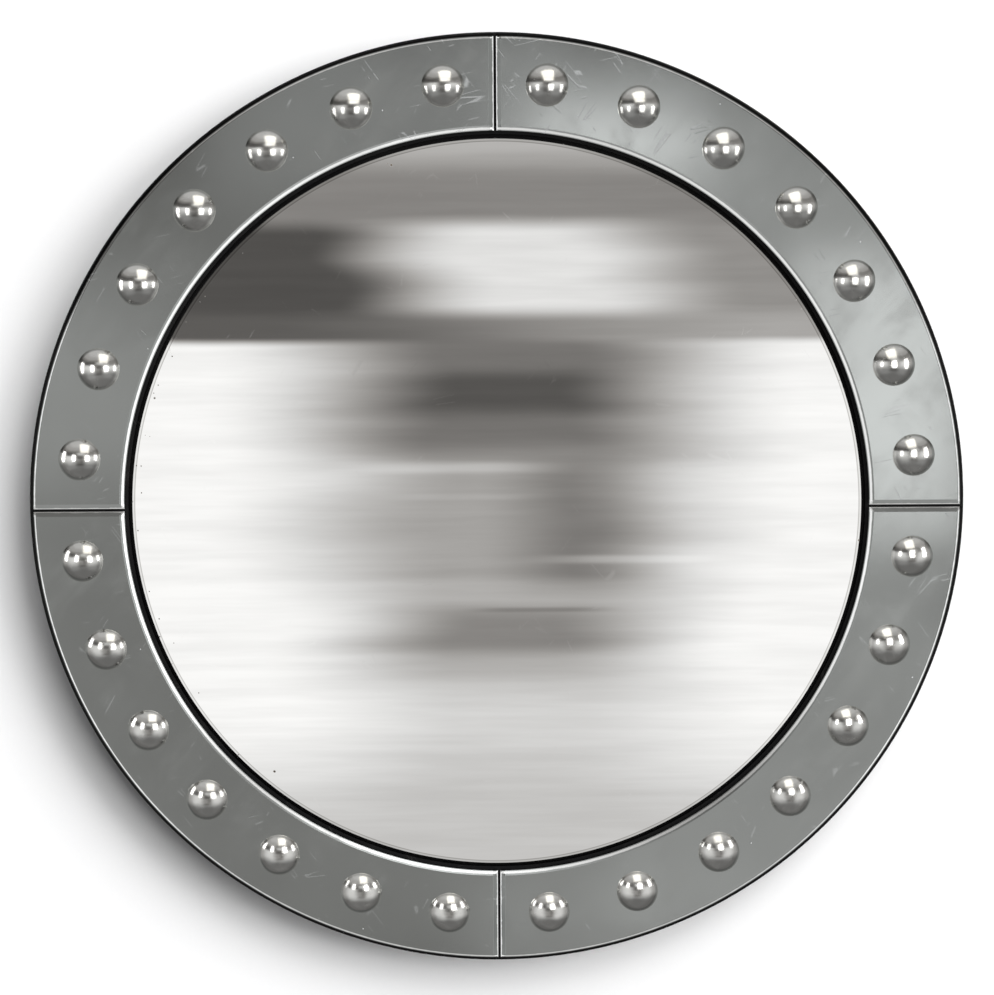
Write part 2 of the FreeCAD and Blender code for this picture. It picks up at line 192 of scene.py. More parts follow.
def make_plate(name, quarter, material):
    """Quarter ring of bevelled glass.

    A front point at radius r and angle a has depth PLATE_FACE + BEVEL_DEPTH (1 - d / BEVEL_WIDTH) where its
    distance d from the nearest edge is under BEVEL_WIDTH, and PLATE_FACE elsewhere. The two ends run
    parallel to the seams, so their angle at radius r is asin((HALF_SEAM + distance) / r).
    """
    in_bevel = np.linspace(0, BEVEL_WIDTH, 4)
    flat = np.linspace(BEVEL_WIDTH, PLATE_WIDTH - BEVEL_WIDTH, 9)[1:-1]
    across = np.r_[in_bevel, flat, PLATE_WIDTH - in_bevel[::-1]]
    radius = (PLATE_INNER + across)[:, None]
    near = np.arcsin((HALF_SEAM + in_bevel[None, :]) / radius)
    far = math.pi / 2 - near[:, ::-1]
    share = np.linspace(0, 1, 90)[None, 1:-1]
    angle = np.hstack([near, near[:, -1:] * (1 - share) + far[:, :1] * share, far])
    to_arc = np.minimum(across, PLATE_WIDTH - across)[:, None]
    to_end = np.minimum(radius * np.sin(angle), radius * np.cos(angle)) - HALF_SEAM
    edge_distance = np.clip(np.minimum(to_arc, to_end), 0, BEVEL_WIDTH)
    depth = PLATE_FACE + BEVEL_DEPTH * (1 - edge_distance / BEVEL_WIDTH)

    turn = angle - quarter * math.pi / 2
    front = np.stack([radius * np.cos(turn), depth, radius * np.sin(turn)], axis=-1)
    back = front.copy()
    back[..., 1] = BOARD_FACE
    rows, columns = angle.shape
    count = rows * columns
    sheet = grid_faces(rows, columns)
    border = np.r_[np.arange(columns), np.arange(1, rows) * columns + columns - 1,
                   (rows - 1) * columns + np.arange(columns - 2, -1, -1),
                   np.arange(rows - 2, 0, -1) * columns]
    walls = np.c_[border, np.roll(border, -1), np.roll(border, -1) + count, border + count]
    faces = np.vstack([sheet, sheet[:, ::-1] + count, walls])
    points = np.vstack([front.reshape(-1, 3), back.reshape(-1, 3)])
    return new_piece("glass_" + name, points, faces, material, 12,
                     replaces=("frame_" + name,))


def make_dish(material):
    """Slumped glass of even thickness: two spheres with one centre, and a ground edge between them."""
    bulge = DISH_RIM_FRONT - DISH_APEX
    sphere = (DISH_RADIUS ** 2 + bulge ** 2) / (2 * bulge)
    centre = DISH_APEX + sphere
    arris = 0.7 * MM
    out = np.linspace(0.004, 1, 80)
    front = (DISH_RADIUS - arris) * out
    back = DISH_RADIUS * out[::-1]
    inner = sphere - DISH_GLASS
    profile = np.c_[front, centre - np.sqrt(sphere ** 2 - front ** 2)].tolist()
    profile += [(DISH_RADIUS, DISH_RIM_FRONT + arris)]
    profile += np.c_[back, centre - np.sqrt(inner ** 2 - back ** 2)].tolist()
    points, faces = turned(profile, circle_outline(256))
    return new_piece("silvered_dish", points, faces, material, 20,
                     replaces=("convex_mirror",))


def stud_places():
    """Centres of the studs' feet, plate by plate."""
    steps = np.arange(STUDS_PER_PLATE) - (STUDS_PER_PLATE - 1) / 2
    angle = (math.pi / 4 + steps * STUD_PITCH + np.arange(4)[:, None] * math.pi / 2).ravel()
    return STUD_CIRCLE * np.c_[np.cos(angle), np.zeros_like(angle), np.sin(angle)]


def make_studs(material):
    """Chromed domes in one mesh.

    The profile is the circle through the foot and the apex, with a rolled foot. The UV map gives each point's
    place in the square round its own dome.
    """
    dome = (STUD_FOOT ** 2 + STUD_HEIGHT ** 2) / (2 * STUD_HEIGHT)
    slope = np.linspace(math.asin((STUD_FOOT - 0.25 * MM) / dome), 0.03, 26)
    profile = [(STUD_FOOT * 0.1, PLATE_FACE), (STUD_FOOT - 0.1 * MM, PLATE_FACE),
               (STUD_FOOT, PLATE_FACE - 0.12 * MM)]
    profile += np.c_[dome * np.sin(slope), PLATE_FACE - STUD_HEIGHT + dome - dome * np.cos(slope)].tolist()
    points, faces = turned(profile, circle_outline(72))
    places = stud_places()
    all_points = (places[:, None, :] + points[None, :, :]).reshape(-1, 3)
    all_faces = [[vertex + number * len(points) for vertex in face]
                 for number in range(len(places)) for face in faces]
    studs = new_piece("chrome_domes", all_points, all_faces, material, 40,
                      replaces=("dome_studs",))
    mesh = studs.data
    vertices = np.empty(3 * len(mesh.vertices))
    mesh.vertices.foreach_get("co", vertices)
    vertices = vertices.reshape(-1, 3)[:, ::2]
    nearest = np.linalg.norm(vertices[:, None] - places[None, :, ::2], axis=2).argmin(axis=1)
    local = (vertices - places[nearest][:, ::2]) / STUD_FOOT * 0.5 + 0.5
    corners = np.empty(len(mesh.loops), int)
    mesh.loops.foreach_get("vertex_index", corners)
    mesh.uv_layers.new(name="dome square").data.foreach_set("uv", local[corners].ravel())
    return studs


def ring_path():
    """Centre line of the bent wire in its own plane: (across, away from the pin), closed, corners round."""
    bend = 2.2 * MM
    quarter = np.linspace(0, math.pi / 2, 7)
    half = np.linspace(0, math.pi, 33)
    pin = np.c_[np.linspace(-RING_HALF + bend, RING_HALF - bend, 9), np.zeros(9)]
    right = np.c_[RING_HALF - bend + bend * np.sin(quarter), bend - bend * np.cos(quarter)]
    bow = np.c_[RING_HALF * np.cos(half), RING_LEG + RING_HALF * np.sin(half)]
    left = np.c_[-RING_HALF + bend - bend * np.cos(quarter), bend - bend * np.sin(quarter)]
    return np.vstack([pin[1:-1], right, bow, left])


def make_ring(side, hinge, material):
    """Round wire bent to a D, closed, hanging from its pin and leaning on the strap's tail."""
    path = ring_path()
    along = np.array([0, math.sin(RING_LEAN), -math.cos(RING_LEAN)])
    away = np.array([0, math.cos(RING_LEAN), math.sin(RING_LEAN)])
    centre = np.array(hinge) + path[:, :1] * np.array([1, 0, 0]) + path[:, 1:] * along
    tangent = np.roll(centre, -1, axis=0) - np.roll(centre, 1, axis=0)
    tangent /= np.linalg.norm(tangent, axis=1)[:, None]
    beside = np.cross(tangent, away)
    turns = 16
    angle = np.linspace(0, 2 * math.pi, turns, endpoint=False)
    tube = centre[:, None] + WIRE_RADIUS * (np.cos(angle)[None, :, None] * beside[:, None]
                                            + np.sin(angle)[None, :, None] * away)
    faces = grid_faces(len(path), turns, close_rows=True, close_columns=True)
    return new_piece("ring_wire_" + side, tube.reshape(-1, 3), faces, material, 50, body=side + "_ring",
                     replaces=("hanger_ring_" + side,))


def make_screw(name, x, z, material):
    """Pan head with a cross recess.

    A point at radius r of the head stands dome (1 - (r / head)^4) above the rim. It sinks by the recess where
    it is within half a slot of either diagonal and inside the slot's reach.
    """
    head, rim, dome, recess, half_slot, reach = (v * MM for v in (3.2, 1.3, 0.9, 1.2, 0.42, 2.0))
    turns = 96
    outline = circle_outline(turns)
    rings = np.linspace(0.03, 1, 40)
    radius = head * rings[:, None]
    across, up = radius * outline[:, 0], radius * outline[:, 1]
    slot = np.minimum(np.abs(across + up), np.abs(across - up)) / math.sqrt(2)
    sunk = np.clip((half_slot - slot) / (0.12 * MM), 0, 1) * np.clip((reach - radius) / (0.3 * MM), 0, 1)
    height = STRAP_FACE + rim + dome * (1 - rings[:, None] ** 4) - recess * sunk
    top = np.stack([across, height, up], axis=-1).reshape(-1, 3)
    foot = np.stack([head * outline[:, 0], np.full(turns, STRAP_FACE), head * outline[:, 1]], axis=-1)
    points = np.vstack([top, foot, [[0, height[0].mean(), 0], [0, STRAP_FACE, 0]]])
    faces = grid_faces(len(rings) + 1, turns, close_columns=True).tolist()
    inner_ring, foot_ring = np.arange(turns), np.arange(turns) + len(rings) * turns
    for ring, tip in ((inner_ring, len(points) - 2), (foot_ring, len(points) - 1)):
        faces += np.c_[ring, np.roll(ring, -1), np.full(turns, tip)].tolist()
    return new_piece(name, points + [x, 0, z], faces, material, 35)


def make_bumpers(material):
    """Four square rubber pads with soft corners and a rolled front, in one mesh."""
    half, soft = BUMPER_SIDE / 2, 1.2 * MM
    profile = [(half * 0.1, 0), (half, 0)]
    profile += corner((half, WALL - soft), (half, WALL), (half - soft, WALL), 6)
    profile += [(half * 0.6, WALL), (half * 0.1, WALL)]
    points, faces = turned(profile, square_outline(64))
    all_points, all_faces = [], []
    for angle in np.radians(BUMPER_ANGLES):
        cosine, sine = math.cos(angle), math.sin(angle)
        turn = np.array([[cosine, 0, -sine], [0, 1, 0], [sine, 0, cosine]])
        all_faces += [[vertex + len(points) * len(all_points) for vertex in face] for face in faces]
        all_points.append((points + [BUMPER_REACH, 0, 0]) @ turn.T)
    return new_piece("rubber_feet", np.vstack(all_points), all_faces, material, 40,
                     replaces=("wall_bumpers",))


# ---------------------------------------------------------------- shader nodes


class Nodes:
    """Adds nodes to one tree. A socket given as an input is linked and a number is typed in."""

    def __init__(self, tree):
        self.tree = tree

    def add(self, kind, inputs=None, **settings):
        made = self.tree.nodes.new(kind)
        for name, value in settings.items():
            setattr(made, name, value)
        for name, value in (inputs or {}).items():
            self.put(made.inputs[name], value)
        return made

    def put(self, socket, value):
        if isinstance(value, bpy.types.NodeSocket):
            self.tree.links.new(value, socket)
        else:
            socket.default_value = value

    def math(self, operation, a, b=0.0):
        return self.add("ShaderNodeMath", {0: a, 1: b}, operation=operation).outputs[0]

    def times(self, a, b):
        return self.math("MULTIPLY", a, b)

    def plus(self, a, b):
        return self.math("ADD", a, b)

    def minus(self, a, b):
        return self.math("SUBTRACT", a, b)

    def absolute(self, a):
        return self.math("ABSOLUTE", a)

    def ramp(self, value, low, high, to_low=0.0, to_high=1.0):
        """Smooth step from to_low at low to to_high at high, level outside."""
        made = self.add("ShaderNodeMapRange", {"Value": value, "From Min": low, "From Max": high,
                                               "To Min": to_low, "To Max": to_high})
        made.interpolation_type = "SMOOTHSTEP"
        return made.outputs["Result"]

    def between(self, amount, a, b):
        """Number a where amount is 0 and b where it is 1."""
        made = self.add("ShaderNodeMix", data_type="FLOAT")
        for socket, value in zip((0, 2, 3), (amount, a, b)):
            self.put(made.inputs[socket], value)
        return made.outputs[0]

    def blend(self, amount, a, b):
        """Colour a where amount is 0 and b where it is 1."""
        made = self.add("ShaderNodeMix", data_type="RGBA")
        for socket, value in zip((0, 6, 7), (amount, a, b)):
            self.put(made.inputs[socket], (*value, 1.0) if isinstance(value, tuple) else value)
        return made.outputs[2]

    def noise(self, vector, scale, detail=2.0, roughness=0.5, distortion=0.0):
        made = self.add("ShaderNodeTexNoise", {"Vector": vector, "Scale": scale, "Detail": detail,
                                               "Roughness": roughness, "Distortion": distortion})
        return made.outputs["Fac"]

    def drawn_out(self, vector, angle, length):
        """Position turned about Y and drawn out, so that a pattern on it is length times as long."""
        made = self.add("ShaderNodeMapping", {"Vector": vector, "Rotation": (0.0, angle, 0.0),
                                              "Scale": (1.0, 1.0, length)}, vector_type="TEXTURE")
        return made.outputs[0]

    def from_axis(self, place):
        """Distance from the mirror's axis, and the two places across it."""
        x, _, z = self.add("ShaderNodeSeparateXYZ", {0: place}).outputs
        return self.span(x, z), x, z

    def span(self, a, b):
        """Length of the line whose two sides are a and b."""
        return self.math("POWER", self.plus(self.math("POWER", a, 2.0), self.math("POWER", b, 2.0)), 0.5)

    def least(self, *values):
        result = values[0]
        for value in values[1:]:
            result = self.math("MINIMUM", result, value)
        return result

    def dots(self, vector, scale, size, share):
        """Round specks in a share of the cells of a grid with that many cells a metre, size in cells."""
        cells = self.add("ShaderNodeTexVoronoi", {"Vector": vector, "Scale": scale})
        chance = self.add("ShaderNodeSeparateColor", {0: cells.outputs["Color"]}).outputs[0]
        picked = self.math("LESS_THAN", chance, share)
        return self.times(self.ramp(cells.outputs["Distance"], size, size * 0.4), picked)

    def group(self, group, inputs):
        made = self.add("ShaderNodeGroup")
        made.node_tree = group
        for name, value in inputs.items():
            self.put(made.inputs[name], value)
        return made.outputs[0]

    def bump(self, height, strength, distance):
        return self.add("ShaderNodeBump", {"Height": height, "Strength": strength,
                                           "Distance": distance}).outputs["Normal"]


def new_material(name):
    """Material with a Principled shader: the material, its nodes, the shader's inputs and the position."""
    material = bpy.data.materials.new(name)
    material.use_nodes = True
    material.node_tree.nodes.clear()
    n = Nodes(material.node_tree)
    shader = n.add("ShaderNodeBsdfPrincipled")
    n.add("ShaderNodeOutputMaterial", {"Surface": shader.outputs["BSDF"]})
    place = n.add("ShaderNodeTexCoord").outputs["Object"]
    return material, n, shader.inputs, place


def new_group(name, inputs):
    """Node group that takes a position and numbers, and gives one mask."""
    group = bpy.data.node_groups.new(name, "ShaderNodeTree")
    group.interface.new_socket("Position", in_out="INPUT", socket_type="NodeSocketVector")
    for socket in inputs:
        group.interface.new_socket(socket, in_out="INPUT", socket_type="NodeSocketFloat")
    group.interface.new_socket("Mask", in_out="OUTPUT", socket_type="NodeSocketFloat")
    n = Nodes(group)
    return group, n, n.add("NodeGroupInput").outputs, n.add("NodeGroupOutput").inputs


def hairline_scratches():
    """Fine lines in three directions, broken into short lengths.

    Scale is lines a metre, and Share is how much of them is left.
    """
    group, n, given, leave = new_group("hairline scratches", ("Scale", "Share"))
    lines = []
    for number, (angle, length) in enumerate(((0.6, 14.0), (1.35, 20.0), (2.5, 11.0)), start=1):
        aside = (0.37 * number, 0.0, 0.21 * number)
        bent = n.add("ShaderNodeVectorMath", {0: given["Position"], 1: aside}).outputs[0]
        run = n.drawn_out(bent, angle, length)
        cells = n.add("ShaderNodeTexVoronoi", {"Vector": run, "Scale": given["Scale"]},
                      feature="DISTANCE_TO_EDGE")
        line = n.ramp(cells.outputs["Distance"], 0.022, 0.006)
        broken = n.noise(bent, n.times(given["Scale"], 0.5), 1.0, 0.5, 0.4)
        left = n.ramp(broken, given["Share"], n.minus(given["Share"], 0.04))
        lines.append(n.times(line, left))
    n.put(leave["Mask"], n.math("MAXIMUM", n.math("MAXIMUM", lines[0], lines[1]), lines[2]))
    return group


def wiped_smudges():
    """Soft cloudy film with wiping marks. Scale is clouds a metre."""
    group, n, given, leave = new_group("wiped smudges", ("Scale",))
    cloud = n.noise(given["Position"], given["Scale"], 4.0, 0.6, 0.6)
    wiped = n.noise(n.drawn_out(given["Position"], 0.7, 6.0), 40.0, 3.0, 0.6, 0.4)
    n.put(leave["Mask"], n.times(n.ramp(cloud, 0.42, 0.72), n.ramp(wiped, 0.3, 0.75)))
    return group


def plate_glass(scratches, smudges):
    """Grey antiqued mirror glass: bevels with painted reflection, painted highlight lines, black outer edge,
    wear round the top seam.
    """
    m, n, shader, place = new_material("antiqued mirror plate")
    out, x, z = n.from_axis(place)
    inner = n.minus(out, PLATE_INNER)
    outer = n.minus(PLATE_OUTER, out)
    seam = n.minus(n.math("MINIMUM", n.absolute(x), n.absolute(z)), HALF_SEAM)
    bevel = n.ramp(n.least(inner, outer, seam), BEVEL_WIDTH + 0.1 * MM, BEVEL_WIDTH - 0.3 * MM)
    flaked = n.noise(place, 120.0, 3.0, 0.7)
    # painted highlight: bright lines on the bevels by the inner and outer edges and along the seams, flaked
    # by noise
    inner_line = n.ramp(n.plus(inner, n.times(flaked, 0.8 * MM)), 3.1 * MM, 2.5 * MM)
    inner_line = n.times(inner_line, n.ramp(inner, 0.4 * MM, 0.9 * MM))
    seam_line = n.ramp(seam, n.ramp(flaked, 0.4, 0.7, 0.7 * MM, 1.6 * MM), 0.4 * MM)
    from_line = n.absolute(n.minus(outer, 2.9 * MM))
    outer_line = n.ramp(from_line, n.ramp(flaked, 0.4, 0.7, 0.5 * MM, 0.9 * MM), 0.2 * MM)
    arris = n.math("MAXIMUM", n.math("MAXIMUM", inner_line, outer_line), seam_line)
    black_edge = n.ramp(outer, 2.1 * MM, 1.6 * MM)
    worn = n.ramp(n.span(x, n.minus(z, PLATE_OUTER)), 0.26, 0.04)
    clouds = n.ramp(n.noise(place, 5.0, 3.0, 0.55), 0.3, 0.7)
    tone = n.blend(clouds, (0.36, 0.376, 0.37), (0.41, 0.43, 0.424))
    film = n.group(smudges, {"Position": place, "Scale": 13.0})
    lines = n.group(scratches, {"Position": place, "Scale": 90.0, "Share": n.between(worn, 0.35, 0.4)})
    large_chips = n.dots(place, 60.0, 0.06, n.between(worn, 0.015, 0.1))
    chips = n.math("MAXIMUM", large_chips, n.dots(place, 170.0, 0.12, n.between(worn, 0.01, 0.05)))
    marks = n.math("MAXIMUM", n.times(chips, 0.7), n.times(lines, n.between(worn, 0.15, 0.32)))
    # painted reflection: a bevel's tone is lighter where it faces up or down and darker where it faces
    # sideways
    upright = n.math("DIVIDE", n.absolute(z), out)
    by_seam = n.math("LESS_THAN", seam, BEVEL_WIDTH)
    facing_up = n.between(by_seam, upright, n.minus(1.0, upright))
    uneven = n.ramp(n.noise(place, 11.0, 2.0), 0.35, 0.65, -0.15, 0.2)
    bevel_painted_reflection = n.blend(n.plus(facing_up, uneven), (0.19, 0.2, 0.195), (0.4, 0.415, 0.41))
    tone = n.blend(n.times(film, n.between(worn, 0.12, 0.34)), tone, (0.7, 0.72, 0.71))
    tone = n.blend(bevel, tone, bevel_painted_reflection)
    # painted highlight along the bevels and seams
    tone = n.blend(arris, tone, (0.94, 0.95, 0.95))
    tone = n.blend(marks, tone, (0.86, 0.88, 0.9))
    n.put(shader["Base Color"], n.blend(black_edge, tone, (0.012, 0.012, 0.012)))
    n.put(shader["Metallic"], n.minus(1.0, n.times(marks, 0.75)))
    rough = n.plus(n.times(film, 0.14), n.times(marks, 0.3))
    n.put(shader["Roughness"], n.plus(rough, 0.16))
    waves = n.minus(n.noise(place, 9.0, 1.0), n.times(lines, 0.03))
    n.put(shader["Normal"], n.bump(waves, 0.25, 0.002))
    return m


def dish_glass(scratches, smudges):
    """Silvered convex glass, clean in the middle, with foxing spots and a ground line near its rim."""
    m, n, shader, place = new_material("silvered convex glass")
    out, x, _ = n.from_axis(place)
    rim = n.ramp(out, DISH_RADIUS * 0.93, DISH_RADIUS)
    spread = n.times(rim, n.between(n.ramp(x, -0.12, -0.27), 0.03, 0.16))
    spots = n.math("MAXIMUM", n.dots(place, 110.0, 0.16, spread), n.dots(place, 260.0, 0.2, spread))
    line_radius = DISH_RADIUS - 2.6 * MM
    from_line = n.absolute(n.minus(out, line_radius))
    line = n.ramp(from_line, 0.7 * MM, 0.2 * MM)
    ground = n.ramp(out, line_radius, DISH_RADIUS - 1.8 * MM)
    film = n.group(smudges, {"Position": place, "Scale": 7.0})
    hairs = n.group(scratches, {"Position": place, "Scale": 60.0, "Share": 0.34})
    tone = n.blend(n.times(ground, 0.5), (0.94, 0.94, 0.935), (0.7, 0.7, 0.68))
    tone = n.blend(n.times(line, 0.55), tone, (0.25, 0.24, 0.22))
    tone = n.blend(n.times(film, 0.06), tone, (0.75, 0.75, 0.74))
    n.put(shader["Base Color"], n.blend(spots, tone, (0.11, 0.085, 0.06)))
    n.put(shader["Metallic"], n.minus(1.0, n.times(spots, 0.7)))
    rough = n.plus(n.times(film, 0.02), n.times(hairs, 0.08))
    n.put(shader["Roughness"], n.plus(n.plus(rough, 0.015), n.times(spots, 0.5)))
    n.put(shader["Normal"], n.bump(n.noise(place, 14.0, 1.0), 0.04, 0.001))
    return m


def dome_chrome(scratches, smudges):
    """Polished chrome, painted darker on the lower side of each dome as painted shade, with film, fine
    hairlines and pin pits.

    The piece's UV map runs from (0, 0) to (1, 1) over the square round each dome.
    """
    m, n, shader, place = new_material("polished dome chrome")
    across, up, _ = n.add("ShaderNodeSeparateXYZ", {0: n.add("ShaderNodeTexCoord").outputs["UV"]}).outputs
    across = n.minus(n.times(across, 2.0), 1.0)
    up = n.minus(n.times(up, 2.0), 1.0)
    film = n.group(smudges, {"Position": place, "Scale": 60.0})
    lines = n.group(scratches, {"Position": place, "Scale": 400.0, "Share": 0.36})
    pits = n.dots(place, 600.0, 0.18, 0.05)
    uneven = n.times(n.minus(n.noise(place, 70.0, 2.0), 0.5), 0.35)
    # painted shade: the lower part of each dome is painted darker, from a little above its middle downwards
    low = n.ramp(n.plus(up, uneven), 0.08, -0.3)
    foot = n.ramp(n.span(across, up), 0.86, 1.0)
    tone = n.blend(low, (0.62, 0.62, 0.605), (0.22, 0.22, 0.215))
    tone = n.blend(foot, tone, (0.5, 0.5, 0.48))
    tone = n.blend(n.times(film, 0.3), tone, (0.55, 0.55, 0.53))
    n.put(shader["Base Color"], n.blend(pits, tone, (0.2, 0.18, 0.16)))
    n.put(shader["Metallic"], n.minus(1.0, n.times(pits, 0.4)))
    rough = n.plus(n.times(film, 0.08), n.times(lines, 0.1))
    n.put(shader["Roughness"], n.plus(rough, 0.17))
    waves = n.minus(n.noise(place, 240.0, 2.0), n.times(pits, 0.6))
    n.put(shader["Normal"], n.bump(waves, 0.05, 0.0004))
    return m


def board_paint(scratches, smudges):
    """Satin black paint, rolled on plywood, dusty, lightly scratched, rubbed thin along the outer edge."""
    m, n, shader, place = new_material("satin black paint")
    out = n.from_axis(place)[0]
    stipple = n.noise(place, 900.0, 3.0, 0.6)
    dust = n.group(smudges, {"Position": place, "Scale": 9.0})
    lines = n.group(scratches, {"Position": place, "Scale": 95.0, "Share": 0.36})
    at_edge = n.ramp(out, BOARD_RADIUS - 1.2 * MM, BOARD_RADIUS - 0.2 * MM)
    rubbed = n.times(n.ramp(n.noise(place, 190.0, 4.0, 0.7), 0.66, 0.76), at_edge)
    tone = n.blend(n.times(dust, 0.3), (0.006, 0.006, 0.0065), (0.045, 0.043, 0.04))
    shader["Specular IOR Level"].default_value = 0.18
    tone = n.blend(n.times(lines, 0.12), tone, (0.12, 0.115, 0.11))
    n.put(shader["Base Color"], n.blend(n.times(rubbed, 0.5), tone, (0.11, 0.075, 0.05)))
    n.put(shader["Roughness"], n.ramp(stipple, 0.2, 0.8, 0.38, 0.62))
    n.put(shader["Normal"], n.bump(stipple, 0.35, 0.0003))
    return m


def foam(smudges):
    """Black foam tape with open pores, painted darker inside as painted shade."""
    m, n, shader, place = new_material("black foam tape")
    pores = n.dots(place, 1400.0, 0.45, 0.7)
    film = n.group(smudges, {"Position": place, "Scale": 40.0})
    tone = n.blend(n.times(film, 0.5), (0.022, 0.022, 0.023), (0.05, 0.049, 0.047))
    # painted shade: the pores are painted darker than the foam
    n.put(shader["Base Color"], n.blend(pores, tone, (0.008, 0.008, 0.008)))
    n.put(shader["Roughness"], n.ramp(film, 0.0, 1.0, 0.95, 0.8))
    n.put(shader["Normal"], n.bump(n.minus(1.0, pores), 0.8, 0.0003))
    return m


def zinc_steel(name, scratches, smudges, tint):
    """Zinc-plated steel with a faint spangle, drawing lines and a dulling film."""
    m, n, shader, place = new_material(name)
    cells = n.add("ShaderNodeTexVoronoi", {"Vector": place, "Scale": 900.0})
    spangle = n.add("ShaderNodeSeparateColor", {0: cells.outputs["Color"]}).outputs[0]
    drawn = n.noise(n.drawn_out(place, 0.0, 25.0), 2600.0, 2.0)
    film = n.group(smudges, {"Position": place, "Scale": 90.0})
    lines = n.group(scratches, {"Position": place, "Scale": 300.0, "Share": 0.45})
    dark = tuple(0.72 * value for value in tint)
    tone = n.blend(n.ramp(spangle, 0.0, 1.0, 0.0, 0.6), tint, dark)
    tone = n.blend(n.times(film, 0.5), tone, (0.3, 0.29, 0.27))
    n.put(shader["Base Color"], n.blend(n.times(lines, 0.4), tone, (0.8, 0.8, 0.79)))
    n.put(shader["Metallic"], n.minus(1.0, n.times(film, 0.25)))
    n.put(shader["Roughness"], n.plus(n.ramp(drawn, 0.3, 0.7, 0.24, 0.38), n.times(film, 0.2)))
    n.put(shader["Normal"], n.bump(drawn, 0.2, 0.0001))
    return m


def rubber(smudges):
    """Moulded black rubber, slightly dusty."""
    m, n, shader, place = new_material("black bumper rubber")
    grain = n.noise(place, 2200.0, 3.0, 0.6)
    dust = n.group(smudges, {"Position": place, "Scale": 50.0})
    tone = n.blend(n.times(dust, 0.6), (0.018, 0.018, 0.018), (0.075, 0.07, 0.065))
    n.put(shader["Base Color"], tone)
    n.put(shader["Roughness"], n.ramp(grain, 0.2, 0.8, 0.62, 0.85))
    n.put(shader["Normal"], n.bump(grain, 0.4, 0.0002))
    return m


# ---------------------------------------------------------------- room, lamps and camera


def direction(azimuth, elevation):
    """Unit vector out of the mirror's front, azimuth degrees to the right of -Y, elevation above level."""
    a, e = math.radians(azimuth), math.radians(elevation)
    return Vector((math.sin(a) * math.cos(e), -math.cos(a) * math.cos(e), math.sin(e)))


